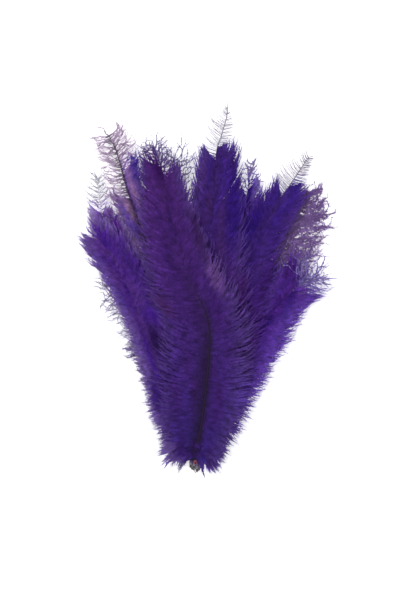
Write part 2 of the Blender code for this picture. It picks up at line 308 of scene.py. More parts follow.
# %% Curves and layers
GAP_AT_TIE = 3.3 * MM
GAP_SWELL = 1.6 * MM
GAP_SWELL_LENGTH = 260 * MM
GAP_FALL_TO_SIDE = 0.3
FAN_HALF_WIDTH = 130 * MM
SPREAD_START = 3 * MM
SPREAD_END = 24 * MM
LAYER_END = SPREAD_END - 4 * MM
CURVE_STEPS = 12
TAPER = 0.9  # below 1, the shaft stays thick for longer


def ease(value, start, end):
    """0 before start, 1 past end, and a smooth rise between them."""
    share = min(1, max(0, (value - start) / (end - start)))
    return share * share * (3 - 2 * share)


def through_three(values, share):
    """The parabola through three values given at 0, a half and 1."""
    base, middle, top = values
    return (
        base * (1 - share) * (1 - 2 * share)
        + middle * 4 * share * (1 - share)
        + top * share * (2 * share - 1)
    )


def curve_point(points, index, share):
    """A point on the smooth curve that runs through all the points."""
    before, here = points[max(index - 1, 0)], points[index]
    after, beyond = (points[min(index + step, len(points) - 1)] for step in (1, 2))
    return 0.5 * (
        2 * here
        + (after - before) * share
        + (2 * before - 5 * here + 4 * after - beyond) * share**2
        + (3 * here - before - 3 * after + beyond) * share**3
    )


def shaft_line(plume):
    """The shaft in plan, in metres from the tie."""
    points = [Vector(point) * MM for point in plume.shaft]
    slot_x = plume.slot[0] * SLOT_PITCH / 2
    line = [Vector((slot_x, -plume.quill * MM))]
    for index in range(len(points) - 1):
        for step in range(CURVE_STEPS):
            point = curve_point(points, index, step / CURVE_STEPS)
            in_slot = slot_x * (1 - ease(point.y, SPREAD_START, SPREAD_END))
            fanned = point.x * ease(point.y, 0, SPREAD_END / 2)
            line.append(Vector((in_slot + fanned, point.y)))
    return line + [points[-1]]


def line_length(line):
    return sum((second - first).length for first, second in zip(line, line[1:]))


def at_length(line, length):
    """The point at a length along a line of points."""
    for first, second in zip(line, line[1:]):
        step = (second - first).length
        if length <= step or second is line[-1]:
            return first + (second - first) * min(1, length / step)
        length -= step


def layer_height(layer, place):
    """The height of a layer's middle above the surface, at a place in plan."""
    swell = math.sin(math.pi * place.length / GAP_SWELL_LENGTH)
    side = 1 - GAP_FALL_TO_SIDE * (place.x / FAN_HALF_WIDTH) ** 2
    return QUILL_RADIUS + layer * (GAP_AT_TIE + GAP_SWELL * swell) * side


def shaft_radius(share):
    return TIP_RADIUS + (QUILL_RADIUS - TIP_RADIUS) * max(0, 1 - share) ** TAPER


def shaft_height(plume, place, radius):
    """The height of the shaft's middle: its row in the tie, then its layer."""
    row = FIRST_ROW + plume.slot[1] * ROW_PITCH
    lying = radius if plume.layer == 0 else layer_height(plume.layer, place)
    return row + (lying - row) * ease(place.y, SPREAD_START, LAYER_END)


# %% [markdown]
# Where a barb grows, how long it is and how it leaves the shaft are worked out here,
# one point for each barb, and the point carries these measures as attributes.

# %% The length and the angle of a barb
AT_BASE, BASE_END = 0.75, 0.2  # barbs are this much of their length at first, whole from here
BARE_FROM = 0.9
# Where a plume goes over into its wisp, from the wisp's start: barb lengths, and the rest.
LENGTH_CHANGE = (-0.1, 0.01)
WISP_CHANGE = (-0.02, 0.03)


def of_side(pair, side):
    """The first of a pair on the left, where side is 1, or the second on the right."""
    return pair[0] if side > 0 else pair[1]


def into_wisp(share, start, change=WISP_CHANGE):
    """0 in the full vane and 1 in the wisp."""
    return ease(share, start + change[0], start + change[1])


def barb_length(plume, side, share):
    """The length of a barb in metres, at a share of the vane's length."""
    full = through_three(of_side((plume.left, plume.right), side), share)
    at_base = AT_BASE + (1 - AT_BASE) * ease(share, 0, BASE_END)
    starts, *lengths, bare = plume.wisp
    past = into_wisp(share, of_side(starts, side), LENGTH_CHANGE)
    at_tip = 1 - bare * ease(share, BARE_FROM, 1)
    return (full + (of_side(lengths, side) - full) * past) * at_base * at_tip * MM


def barb_angle(plume, side, share):
    """Degrees between a barb and the shaft. At the base the two sides may differ."""
    *base, middle, top = plume.angle
    return through_three((of_side(base, side), middle, top), share)


def barb_bend(share):
    """Degrees that a barb bends forward on its way. The lowest ones bend back."""
    return -30 + 74 * ease(share, 0, 0.3) - 22 * share


# %% [markdown]
# Barbs cling together in tufts a few millimetres wide, so each point also carries how far
# the middle of its tuft is. The solids show the same on a larger scale: locks, with a
# notch between one and the next.
# Some barbs stray: they are longer and thinner than the rest and soften the edge of the
# vane. Just above the tie short barbs point down over the thread, and at the very tip
# they turn along the shaft.

# %% Tufts
TUFT_WIDTH = 2.4 * MM
TUFT_WIDTHS = (0.45, 1.7)  # as shares of that, by chance


def tuft_middles(length, chance):
    """Places along the shaft where neighbouring barbs come together."""
    middles = [0.0]
    while middles[-1] < length:
        middles.append(middles[-1] + TUFT_WIDTH * chance.uniform(*TUFT_WIDTHS))
    return middles


def to_nearest(middles, place):
    return min((middle - place for middle in middles), key=abs)


# %% The points that barbs grow from
SHORTEST_BARB = 4 * MM
TIE_EDGE = 3  # mm from the middle of the tie, where the first barbs grow
CROWDING = 1.15  # above 1, barbs stand closer near the tie
LOCKS = 20
LOCK_MIDDLES = (0.25, 0.75)  # the locks of the two sides take turns
NOTCH, RAGGED = 0.14, 0.3  # how much shorter barbs are between two locks, and by chance
STRAY_SHARE, STRAY_LENGTH, STRAY_WIDTH = 0.16, 1.12, 0.6
COVER_RISE = (0.35, 0.65)  # where the cover goes over from the base's to the top's
TIP_FROM, TIP_TURN = 0.94, 0.85  # where barbs turn along the shaft, and how far at most
# Over the tie: how far up, how much shorter on each side, how high and how turned.
OVER_TIE, TIE_SHORTER, TIE_COVER, TIE_TURN = 5 * MM, (0.82, 0.15), 1.6, 40
# Single barbs vary in these ranges.
LENGTHS, LEANS, LOOSENESS, CURLS = (0.86, 1.02), (-0.03, 0.03), (0.5, 1.3), (-0.4, 1.2)
WISP_LEAN, WISP_TUFT = 0.08, 0.8  # in the wisp, barbs lean more and cling less


def barb_points(plume, look, line, number):
    """A dictionary of attributes for each barb of a plume."""
    chance = random.Random(number)
    whole = line_length(line)
    down = plume.quill * MM + TIE_EDGE * MM
    start = (plume.quill + plume.start + TIE_EDGE) * MM
    barbs = []
    for side in (1, -1):
        loose = of_side(look.loose, side)
        middles = tuft_middles(whole - down, chance)
        for index in range(look.barbs):
            run = ((index + chance.random()) / look.barbs) ** CROWDING
            length = down + (whole - down) * run
            share = min(1, max(0, (length - start) / (whole - start)))
            wisp = into_wisp(share, of_side(plume.wisp[0], side))
            full = barb_length(plume, side, share)
            if chance.random() < look.missing * wisp or full < SHORTEST_BARB:
                continue
            place = at_length(line, length)
            ahead = (at_length(line, length + MM) - at_length(line, length - MM)).normalized()
            radius = shaft_radius(length / whole)
            middle = (math.floor(share * LOCKS) + of_side(LOCK_MIDDLES, side)) / LOCKS
            from_middle = (share - middle) * LOCKS
            short = 1 - NOTCH * from_middle**2 - RAGGED * chance.random() ** 4
            stray = chance.random() < STRAY_SHARE
            thin = STRAY_WIDTH if stray else 1
            over_tie = 1 - ease(length - down, 0, OVER_TIE)
            full *= 1 - of_side(TIE_SHORTER, side) * over_tie
            cover = look.cover[0] + (look.cover[1] - look.cover[0]) * ease(share, *COVER_RISE)
            cover += TIE_COVER * over_tie
            turned = TIP_TURN * chance.random() * ease(share, TIP_FROM, 1)
            angle = barb_angle(plume, side, share) * (1 - turned)
            angle += TIE_TURN * chance.random() * over_tie
            height = shaft_height(plume, place, radius) + cover * radius
            barbs.append({
                "place": (*(place + TIE), height),
                "ahead": (ahead.x, ahead.y, 0),
                "number": len(barbs),
                "side": side,
                "run": length / whole,
                "reach": full * short * (STRAY_LENGTH if stray else chance.uniform(*LENGTHS)),
                "angle": math.radians(angle + look.spread * wisp),
                "turn": math.radians(barb_bend(share)),
                "lean": chance.uniform(*LEANS) + WISP_LEAN * wisp * chance.uniform(-1, 1),
                "tuft": to_nearest(middles, length - down) * (1 - WISP_TUFT * wisp),
                "loose": (loose + (look.loose[2] - loose) * wisp) * chance.uniform(*LOOSENESS),
                "curl": math.radians(look.curl) * chance.uniform(*CURLS),
                "fluff": thin * (1 + (look.fluff - 1) * wisp),
                "fine": thin * (1 - (0.8 - 0.35 * look.fluff) * wisp),
            })
    return barbs


# %% [markdown]
# The shaft is a line of points in the same mesh. Each measure is written for all points,
# and is 0 where a point has no use for it.

# %% The points of the shaft, and what each point carries
STATIONS = 110
MOUTH_LENGTH = 3.5 * MM
MEASURES = (
    "number", "side", "run", "reach", "angle", "turn", "lean", "tuft",
    "loose", "curl", "fluff", "fine", "radius", "ring",
)


def shaft_points(plume, line):
    """Points along the shaft, from where the cut end of the quill stops to the tip."""
    whole = line_length(line)
    points = []
    for station in range(STATIONS):
        length = MOUTH_LENGTH + (whole - MOUTH_LENGTH) * station / (STATIONS - 1)
        place = at_length(line, length)
        radius = shaft_radius(length / whole)
        place = (*(place + TIE), shaft_height(plume, place, radius))
        points.append({"place": place, "run": length / whole, "radius": radius})
    return points


# %% [markdown]
# A cut quill is a hollow tube, and the photograph looks into several of them. The cut is
# slanted, so the opening shows from above. It is drawn ring by ring: down the outside,
# round the rim, and back along the inside to the pith that closes it.

# %% The cut end of a quill
SIDES = 12
CUT_SLOPE = 1.5
MOUTH_RINGS = [
    # share of the radius, length from the cut in mm, share of the slope, run on the map
    (1.00, 3.5, 0.0, 0.0),
    (1.00, 0.15, 1.0, 0.0),
    (0.93, 0.0, 1.0, -0.007),
    (0.74, 0.08, 1.0, -0.009),
    (0.68, 0.35, 1.0, -0.016),
    (0.64, 0.8, 0.9, -0.024),
]
PITH, PITH_RUN = 0.9 * MM, -0.026


def mouth_points(plume, line):
    """The rings of a quill's mouth, and the point that closes it."""
    cut = line[0] + TIE
    height = FIRST_ROW + plume.slot[1] * ROW_PITCH
    points = []
    for share, depth, slope, run in MOUTH_RINGS:
        for corner in range(SIDES):
            turn = 2 * math.pi * corner / SIDES
            across = share * QUILL_RADIUS * math.cos(turn)
            up = share * QUILL_RADIUS * math.sin(turn)
            place = (cut.x + across, cut.y + depth * MM + slope * CUT_SLOPE * up, height + up)
            points.append({"place": place, "run": run, "ring": corner / SIDES})
    points.append({"place": (cut.x, cut.y + PITH, height), "run": PITH_RUN, "ring": 0.5})
    return points


def mouth_faces(first):
    """Faces between the rings, numbered from the mesh's point 'first'."""
    faces = []
    pairs = [(corner, (corner + 1) % SIDES) for corner in range(SIDES)]
    for row in range(len(MOUTH_RINGS) - 1):
        here, beyond = first + row * SIDES, first + (row + 1) * SIDES
        faces += [(here + one, here + two, beyond + two, beyond + one) for one, two in pairs]
    return faces + [(beyond + one, beyond + two, beyond + SIDES) for one, two in pairs]


# %% The growth mesh of a plume
def growth_mesh(plume, look, number):
    line = shaft_line(plume)
    shaft = shaft_points(plume, line)
    points = shaft + barb_points(plume, look, line, number)
    faces = mouth_faces(len(points))
    points += mouth_points(plume, line)
    mesh = bpy.data.meshes.new(plume.name)
    edges = [(index, index + 1) for index in range(len(shaft) - 1)]
    mesh.from_pydata([point["place"] for point in points], edges, faces)
    for name in MEASURES:
        values = [point.get(name, 0) for point in points]
        mesh.attributes.new(name, "FLOAT", "POINT").data.foreach_set("value", values)
    ahead = [part for point in points for part in point.get("ahead", (0, 0, 0))]
    mesh.attributes.new("ahead", "FLOAT_VECTOR", "POINT").data.foreach_set("vector", ahead)
    return mesh


# %% [markdown]
# ## Barbs and barbules
# A barb could be drawn by hand as a curve, but a plume has hundreds, so a node tree
# grows them. A barb is walked in short steps: its heading turns a little at every
# step, and Accumulate Field adds the steps up. That one idea gives the bend towards
# the tip, the waves and the curled ends.

# %% One helper for every node
def linear(hex_colour):
    """An sRGB hex colour as the linear values that a shader takes."""
    channels = [int(hex_colour[i : i + 2], 16) / 255 for i in (0, 2, 4)]
    return (*(c / 12.92 if c <= 0.04045 else ((c + 0.055) / 1.055) ** 2.4 for c in channels), 1)


def add_node(tree, kind, *values, **settings):
    """Adds a node. Values go to its live inputs in order, or by name from a dictionary.

    A kind in capitals is an operation of the Math node, or of Vector Math after the word
    VECTOR. A list goes to one input together. Text is sRGB hex in a colour input, and the
    name of an attribute in one for numbers or vectors.
    """
    if kind.isupper():
        settings["operation"] = kind.split()[-1]
        kind = "ShaderNodeVectorMath" if kind.startswith("VECTOR") else "ShaderNodeMath"
    made = tree.nodes.new(kind)
    for name, setting in settings.items():
        setattr(made, name, setting)
    live = [socket for socket in made.inputs if socket.enabled]
    named = values[0] if values and isinstance(values[0], dict) else dict(enumerate(values))
    for key, value in named.items():
        socket = live[key] if isinstance(key, int) else next(s for s in live if s.name == key)
        for one in value if isinstance(value, list) else [value]:
            if isinstance(one, str) and socket.type in READ_AS:
                one = add_node(tree, READ, one, data_type=READ_AS[socket.type])
            if isinstance(one, bpy.types.Node):
                one = next(s for s in one.outputs if s.enabled)
            if isinstance(one, bpy.types.NodeSocket):
                tree.links.new(one, socket)
            else:
                is_colour = socket.type == "RGBA" and isinstance(one, str)
                socket.default_value = linear(one) if is_colour else one
    return made


READ = "GeometryNodeInputNamedAttribute"
READ_AS = {"VALUE": "FLOAT", "INT": "INT", "BOOLEAN": "BOOLEAN", "VECTOR": "FLOAT_VECTOR"}
NOISE = "ShaderNodeTexNoise"  # takes a place, a scale and a detail
RANGE = "ShaderNodeMapRange"
JOIN_XYZ = "ShaderNodeCombineXYZ"
SPLIT_XYZ = "ShaderNodeSeparateXYZ"
INDEX = "GeometryNodeInputIndex"
POSITION = "GeometryNodeInputPosition"
SET_POSITION = "GeometryNodeSetPosition"  # takes a geometry, where, and the position
STORE = "GeometryNodeStoreNamedAttribute"  # takes a geometry, where, a name and a value
RANDOM = "FunctionNodeRandomValue"  # takes the lowest, the highest, an index and a seed
TO_CURVE = "GeometryNodeMeshToCurve"
CIRCLE = "GeometryNodeCurvePrimitiveCircle"
SWEEP = "GeometryNodeCurveToMesh"
JOIN = "GeometryNodeJoinGeometry"
SEPARATE = "GeometryNodeSeparateGeometry"
ON_POINTS = "GeometryNodeInstanceOnPoints"
REALIZE = "GeometryNodeRealizeInstances"
SET_MATERIAL = "GeometryNodeSetMaterial"  # takes a geometry, where, and the material

# %% The inputs of the plume tree
PLUME_INPUTS = [
    ("Growth points", "Geometry"),
    ("Steps per barb", "Int", 9),
    ("Barbules per barb", "Int", 100),
    ("Barbule length", "Float", 4.3 * MM),
    ("Barbule width", "Float", 0.70 * MM),
    ("Barb width", "Float", 1.2 * MM),
    ("Under-fluff width", "Float", 5.0),
    ("Tuft pull", "Float", 0.25),
    ("Lift", "Float", 0.2),
    ("Lowest point", "Float", 0.3 * MM),
    ("Seed", "Int", 1),
    ("Barb material", "Material"),
    ("Shaft material", "Material"),
]


def new_tree(name, inputs):
    """A Geometry Nodes tree with named inputs, what adds nodes to it, and its inputs."""
    tree = bpy.data.node_groups.new(name, "GeometryNodeTree")
    for label, kind, *default in inputs:
        kind = "NodeSocket" + kind
        socket = tree.interface.new_socket(label, in_out="INPUT", socket_type=kind)
        if default:
            socket.default_value = default[0]
    tree.interface.new_socket("Geometry", in_out="OUTPUT", socket_type="NodeSocketGeometry")
    add = partial(add_node, tree)
    return tree, add, add("NodeGroupInput").outputs


# %% [markdown]
# Two waves sway a barb. Neighbours share a slow one, so they stay together, and a
# quicker one of its own lets a loose barb part from them. Its end curls back, and it
# rises from the shaft and then droops.

# %% Headings: where a barb points at each step
SHARED_WAVE = (("run", 16.0), ("along", 3.0), ("side", 7.7))  # how fast it changes with each
OWN_WAVE = (1.37, 0.085)  # from barb to barb, and with each mm of a barb
CURL_FROM = 0.45
TOP_OF_ARCH = 0.37


def barb_heading(add, given):
    """The angle from the shaft's direction, and the angle above the surface."""
    waves = [add("MULTIPLY", name, pace) for name, pace in SHARED_WAVE]
    shared = add(JOIN_XYZ, *waves[:2], add("ADD", waves[2], given["Seed"]))
    by_number, by_mm = OWN_WAVE
    length = add("MULTIPLY", add("MULTIPLY", "along", "reach"), 1 / MM)
    number = add("MULTIPLY", "number", by_number)
    own = add(JOIN_XYZ, number, add("MULTIPLY", length, by_mm), given["Seed"])
    sways = []
    # Each wave has a detail, a strength in loose barbs, and what it has in all barbs.
    for place, detail, if_loose, always in ((shared, 2.0, 1.2, 0.25), (own, 1.0, 3.6, 0.1)):
        wave = add("SUBTRACT", add(NOISE, place, 1.0, detail), 0.5)
        sways.append(add("MULTIPLY", wave, add("MULTIPLY_ADD", "loose", if_loose, always)))

    end = add(RANGE, "along", CURL_FROM, 1.0, interpolation_type="SMOOTHSTEP")
    heading = add("MULTIPLY_ADD", add("SUBTRACT", 0.5, "along"), "turn", "angle")
    heading = add("ADD", heading, add("ADD", *sways))
    heading = add("SUBTRACT", heading, add("MULTIPLY", end, "curl"))
    rise = add("MULTIPLY", add("SUBTRACT", TOP_OF_ARCH, "along"), 2.0)
    return heading, add("MULTIPLY_ADD", rise, given["Lift"], "lean")


# %% Steps: walk each barb out from its root
GATHERING = 2.5  # the power by which the pull into the tuft grows outwards


def walked_barbs(add, given, roots):
    """A curve for each barb, with its points' share of the way out stored as 'along'."""
    steps = given["Steps per barb"]
    ruler = add("GeometryNodeMeshLine", {"Count": add("ADD", steps, 1.0), "Offset": (0, 0, 0)})
    ruler = add(STORE, ruler, True, "along", add("DIVIDE", add(INDEX), steps))
    roots = add(STORE, roots, True, "root", add(POSITION), data_type="FLOAT_VECTOR")
    spines = add(REALIZE, add(ON_POINTS, roots, True, ruler))

    heading, pitch = barb_heading(add, given)
    outward = add("VECTOR SCALE", add("VECTOR CROSS_PRODUCT", (0, 0, 1), "ahead"), "side")
    level = add("COSINE", pitch)
    forward = add("VECTOR SCALE", "ahead", add("MULTIPLY", add("COSINE", heading), level))
    sideways = add("VECTOR SCALE", outward, add("MULTIPLY", add("SINE", heading), level))
    upward = add(JOIN_XYZ, {"Z": add("SINE", pitch)})
    direction = add("VECTOR ADD", add("VECTOR ADD", forward, sideways), upward)
    step = add("VECTOR SCALE", direction, add("DIVIDE", "reach", steps))
    walked = add("GeometryNodeAccumulateField", step, "number", data_type="FLOAT_VECTOR")

    pull = add("MULTIPLY", "tuft", given["Tuft pull"])
    pull = add("MULTIPLY", pull, add("POWER", "along", GATHERING))
    place = add("VECTOR ADD", "root", walked.outputs["Trailing"])
    place = add("VECTOR ADD", place, add("VECTOR SCALE", "ahead", pull))
    moved = add(SET_POSITION, spines, True, place)
    return add(TO_CURVE, above_surface(add, moved, given["Lowest point"]))


def above_surface(add, geometry, lowest):
    """Lifts what would sink into the surface that the bunch lies on."""
    x, y, z = add(SPLIT_XYZ, add(POSITION)).outputs
    return add(SET_POSITION, geometry, True, add(JOIN_XYZ, x, y, add("MAXIMUM", z, lowest)))


# %% [markdown]
# The colour of a barb depends on where it grows and on how far out along it one
# looks, so the plume carries a map of just that: along the map runs the shaft, and
# up and down from its middle line run the barbs of either side. The dye is painted in
# that map.

# %% The map of a plume
EDGE = 0.015
SHAFT_BAND = 0.02
EDGE_SHIFT = 0.0015  # keeps the faces of the map from having no width


def store_map(add, geometry, up, edge=0.0):
    """Writes the map as the corner attribute that the finished mesh keeps."""
    run = add("MULTIPLY_ADD", "run", 1 - 3 * EDGE, 2 * EDGE)
    on_map = add(JOIN_XYZ, add("MULTIPLY_ADD", edge, EDGE_SHIFT, run), up)
    return add(STORE, geometry, True, "OFBake", on_map, data_type="FLOAT2", domain="CORNER")


def store_barb_map(add, geometry):
    out = add("MULTIPLY_ADD", "along", 0.5 - EDGE - SHAFT_BAND, SHAFT_BAND)
    return store_map(add, geometry, add("MULTIPLY_ADD", out, "side", 0.5), "edge")


def store_shaft_map(add, geometry):
    up = add("MULTIPLY_ADD", "ring", SHAFT_BAND, 0.5 - SHAFT_BAND / 2)
    marked = add(STORE, geometry, True, "of_shaft", True, data_type="BOOLEAN")
    return store_map(add, marked, up)


# %% The shaft and the barbs
TAPER_END, END_WIDTH = 0.9, 0.12


def shaft_tube(add, shaft):
    """A tapered tube; 'ring' says how far round it a point is."""
    curve = add("GeometryNodeSetCurveNormal", add(TO_CURVE, shaft), mode="Z_UP")
    ring = add(CIRCLE, SIDES, 1.0)
    ring = add(STORE, ring, True, "ring", add("DIVIDE", add(INDEX), float(SIDES)))
    return add(SWEEP, curve, ring, "radius")


def barb_ribbons(add, given, spines):
    """Each barb as a narrow ribbon that thins out to its end."""
    curves = add("GeometryNodeSetCurveNormal", spines, mode="Z_UP")
    across = add("GeometryNodeCurvePrimitiveLine", (-0.5, 0, 0), (0.5, 0, 0))
    across = add(STORE, across, True, "edge", add(INDEX))
    taper = add(RANGE, "along", 0.0, TAPER_END, 1.0, END_WIDTH)
    width = add("MULTIPLY", add("MULTIPLY", taper, given["Barb width"]), "fine")
    return store_barb_map(add, add(SWEEP, curves, across, width))


# %% [markdown]
# A barbule is a single-faced blade. Those that droop are broader and fill the vane from
# below, as the under-fluff does. Towards the end of a barb they get short and fine.

# %% The barbules
# The ranges of the angle to the barb, of the angle up, of the facing and of the length.
SLANTS, ROLLS = (0.3, 0.9), (-0.6, 1.1)
FACINGS = ((-0.7, -0.7, 0.8), (0.7, 0.7, 1.0))
UNEVEN = (0.55, 1.1)
SHORTER_AT_END, FINER_AT_END = 0.78, 0.1
INNER_PART = (0.6, 0.95)  # of a barb, where barbules that droop are broad
DROOPING = (ROLLS[0], 0.15)


def barbule_direction(add, given, roll):
    """Alternately left and right of the barb, at a slant, rising or drooping by the roll."""
    index = add(INDEX)
    left = add("VECTOR NORMALIZE", add("VECTOR CROSS_PRODUCT", (0, 0, 1), "stem"))
    turn_about = add("MULTIPLY_ADD", add("MODULO", index, 2.0), 2.0, -1.0)
    slant = add(RANDOM, *SLANTS, index, add("ADD", given["Seed"], 41.0))
    out = add("VECTOR SCALE", left, add("MULTIPLY", add("COSINE", roll), turn_about))
    out = add("VECTOR ADD", out, add(JOIN_XYZ, {"Z": add("SINE", roll)}))
    out = add("VECTOR SCALE", out, add("SINE", slant))
    return add("VECTOR ADD", out, add("VECTOR SCALE", "stem", add("COSINE", slant)))


def barbule_size(add, given, roll, uneven):
    """The length and the width of each barbule."""
    shrink = add("MULTIPLY_ADD", add("POWER", "along", 2.0), -SHORTER_AT_END, 1.0)
    length = add("MULTIPLY", given["Barbule length"], "fluff")
    length = add("MULTIPLY", length, add("MULTIPLY", shrink, uneven))
    below = add(RANGE, roll, *DROOPING, 1.0, 0.0)
    below = add("MULTIPLY", below, add(RANGE, "along", *INNER_PART, 1.0, 0.0))
    width = add("MULTIPLY_ADD", below, given["Under-fluff width"], 1.0)
    taper = add(RANGE, "along", INNER_PART[0], 1.0, 1.0, FINER_AT_END)
    for factor in (given["Barbule width"], "fine", taper):
        width = add("MULTIPLY", width, factor)
    return add(JOIN_XYZ, length, width, 1.0)


def barbules(add, given, spines):
    """A three-cornered blade at each of many points along every barb."""
    count, seed, index = given["Barbules per barb"], given["Seed"], add(INDEX)
    feet = add("GeometryNodeCurveToPoints", spines, count, mode="COUNT")
    tangent = feet.outputs["Tangent"]
    feet = add(STORE, feet, True, "stem", tangent, data_type="FLOAT_VECTOR")
    facing = add(RANDOM, *FACINGS, index, add("ADD", seed, 51.0), data_type="FLOAT_VECTOR")
    roll = add(RANDOM, *ROLLS, index, add("ADD", seed, 31.0))
    uneven = add(RANDOM, *UNEVEN, index, add("ADD", seed, 61.0))
    turned = add(
        "FunctionNodeAxesToRotation", barbule_direction(add, given, roll), facing,
        primary_axis="X", secondary_axis="Z",
    )
    blade = add("GeometryNodeMeshCircle", 3, fill_type="NGON")
    unit = (2 / 3, 1 / math.sqrt(3), 1)
    blade = add("GeometryNodeTransform", blade, (1 / 3, 0, 0), (0, 0, 0), unit)
    blade = add(STORE, blade, True, "edge", add(SPLIT_XYZ, add(POSITION)).outputs["Y"])
    size = barbule_size(add, given, roll, uneven)
    blades = {"Points": feet, "Instance": blade, "Rotation": turned, "Scale": size}
    return store_barb_map(add, add(REALIZE, add(ON_POINTS, blades)))


# %% The whole plume
BARBULES_LOWER = 0.3  # they may hang this much lower than barbs


def plume_tree():
    tree, add, given = new_tree("Ostrich plume", PLUME_INPUTS)
    # Only the feet of barbs have a reach, and of the rest only the shaft has a radius.
    barb_feet, rest = add(SEPARATE, given["Growth points"], "reach").outputs
    shaft, mouth = add(SEPARATE, rest, "radius").outputs
    spines = walked_barbs(add, given, barb_feet)
    soft = add(JOIN, [barb_ribbons(add, given, spines), barbules(add, given, spines)])
    soft = above_surface(add, soft, add("MULTIPLY", given["Lowest point"], BARBULES_LOWER))
    hard = store_shaft_map(add, add(JOIN, [shaft_tube(add, shaft), mouth]))
    whole = add(REALIZE, add(JOIN, [hard, soft]))
    whole = add(SET_MATERIAL, whole, True, given["Barb material"])
    add("NodeGroupOutput", add(SET_MATERIAL, whole, "of_shaft", given["Shaft material"]))
    return tree


PLUME_TREE = plume_tree()
print("plume tree:", len(PLUME_TREE.nodes), "nodes")

# %% [markdown]
# ## Materials
# Feather is keratin, the stuff of horn and nails. Dye sinks into the loose barbs and
# leaves them matt and deep in colour, with a faint bloom where light catches the
# fluff. Where the barbs leave the shaft they stand close, and shade is painted into
# their roots there, so it looks dark along the shaft. The shaft is denser, takes less
# colour and has a dull shine, and a highlight is painted along its groove.

# %% Painting in a plume's map
SURFACE = "ShaderNodeBsdfPrincipled"
OUTPUT = "ShaderNodeOutputMaterial"
PATCH_CORE = 0.35  # the share of a patch that has its full colour


def new_material(name):
    """An empty material, and what adds nodes to it."""
    made = bpy.data.materials.new(name)
    made.use_nodes = True
    made.node_tree.nodes.clear()
    return made, partial(add_node, made.node_tree)


def layered(add, colour, *layers):
    """Lays colours over one another, each as strongly as its share says."""
    for share, over in layers:
        colour = add("ShaderNodeMix", share, colour, over, data_type="RGBA")
    return colour


def patches(add, plume, on_map):
    """The share and the colour of each soft oval patch."""
    for along, across, long, wide, colour in DYE_AND_SHADE_PATCHES.get(plume.name, []):
        away = add("VECTOR ADD", on_map, (-along, -across, 0))
        away = add("VECTOR MULTIPLY", away, (1 / long, 1 / wide, 0))
        yield add(RANGE, add("VECTOR LENGTH", away), PATCH_CORE, 1.0, 1.0, 0.0), colour


# %% The dyed barbs
CLOUDS = (9.0, 7.0)  # of dye along the map and across it
FULL_FADE = 0.85
DYE_LAG, DYE_CHANGE = 0.03, 0.04  # the wisp's colour comes a little after its barbs
# Barbs leave a real shaft about every half millimetre, which is too fine to show, so a
# streak of the dye is drawn about four barbs wide.
RIB_PITCH = 2.2 * MM
STREAKS_OUT = 12.0
STREAK_DEPTH = (0.55, 1.45)
# Painted shade: the colour that darkens the barbs' roots along the shaft, and how far out from the
# shaft on the map it reaches, further on the left.
SHADE_AT_SHAFT_COLOUR = "2A1C38"
SHADE_END, SHADE_END_LEFT = 0.07, 0.09  # from the shaft on the map, and more on the left


def dyed_barbs(plume, look):
    """Matt dyed keratin: painted shade along the shaft, streaked barb by barb, paler in the wisp.
    """
    made, add = new_material(plume.name + "_dyed_barbs")
    on_map = add("ShaderNodeUVMap", uv_map="OFBake")
    run, up, _ = add(SPLIT_XYZ, on_map).outputs
    low, high, other, ends = look.dye
    place = [add("MULTIPLY", part, pace) for part, pace in zip((run, up), CLOUDS)]
    place = add(JOIN_XYZ, *place, float(plume.layer))
    clouds = add(RANGE, add(NOISE, place, 1.0, 1.0), 0.42, 0.68)
    vane = 0.5 - EDGE
    left_fade = add(RANGE, up, 0.5 + vane * look.fade[0], 1 - EDGE, 0.0, FULL_FADE)
    right_fade = add(RANGE, up, 0.5 - vane * look.fade[1], EDGE, 0.0, FULL_FADE)
    left_start, right_start = plume.wisp[0]
    on_left = add("GREATER_THAN", up, 0.5)
    start = add("MULTIPLY_ADD", on_left, left_start - right_start, right_start + DYE_LAG)
    in_wisp = add(RANGE, add("SUBTRACT", run, start), 0.0, DYE_CHANGE)
    dye = layered(
        add, low, (run, high), (clouds, other), (add("ADD", left_fade, right_fade), ends),
        *patches(add, plume, on_map), (in_wisp, look.wisp_dye),
    )

    ribs = line_length(shaft_line(plume)) / RIB_PITCH
    place = add(JOIN_XYZ, add("MULTIPLY", run, ribs), add("MULTIPLY", up, STREAKS_OUT))
    streak = add(RANGE, add(NOISE, place, 1.0), 0.32, 0.68, *STREAK_DEPTH)
    # Painted shade at the roots of the barbs: strongest where the shaft shows, weaker where barbs
    # lie over it.
    dye_at_shaft = add(RANGE, run, *COVER_RISE, *(0.2 + 0.65 * min(1, cover) for cover in look.cover))
    shade_end = add("MULTIPLY_ADD", on_left, SHADE_END_LEFT, SHADE_END)
    out = add("ABSOLUTE", add("SUBTRACT", up, 0.5))
    unshaded = add(RANGE, out, SHAFT_BAND, shade_end, dye_at_shaft, 1.0)
    colour = layered(add, SHADE_AT_SHAFT_COLOUR, (unshaded, add("VECTOR SCALE", dye, streak)))
    add(OUTPUT, add(SURFACE, {
        "Base Color": colour, "Roughness": 0.75, "Specular IOR Level": 0.12,
        "Sheen Weight": 0.05, "Sheen Tint": "B9A6E0",
    }))
    return made


# %% The dyed shaft
# A lighter line along the groove on the upper side of the shaft is a painted highlight.
GROOVE_HIGHLIGHT = (0.5 + 0.15 * SHAFT_BAND, 0.5 + 0.3 * SHAFT_BAND)
HORN_GREY = "4C4654"
HORN_FLAKES = (260.0, 900.0, 1.0)  # along the map and across it
BARE_QUILL = (2 * EDGE, 2 * EDGE + 0.03)  # the run over which the dye begins
HOLLOW = (2 * EDGE - 0.013, 2 * EDGE - 0.010)


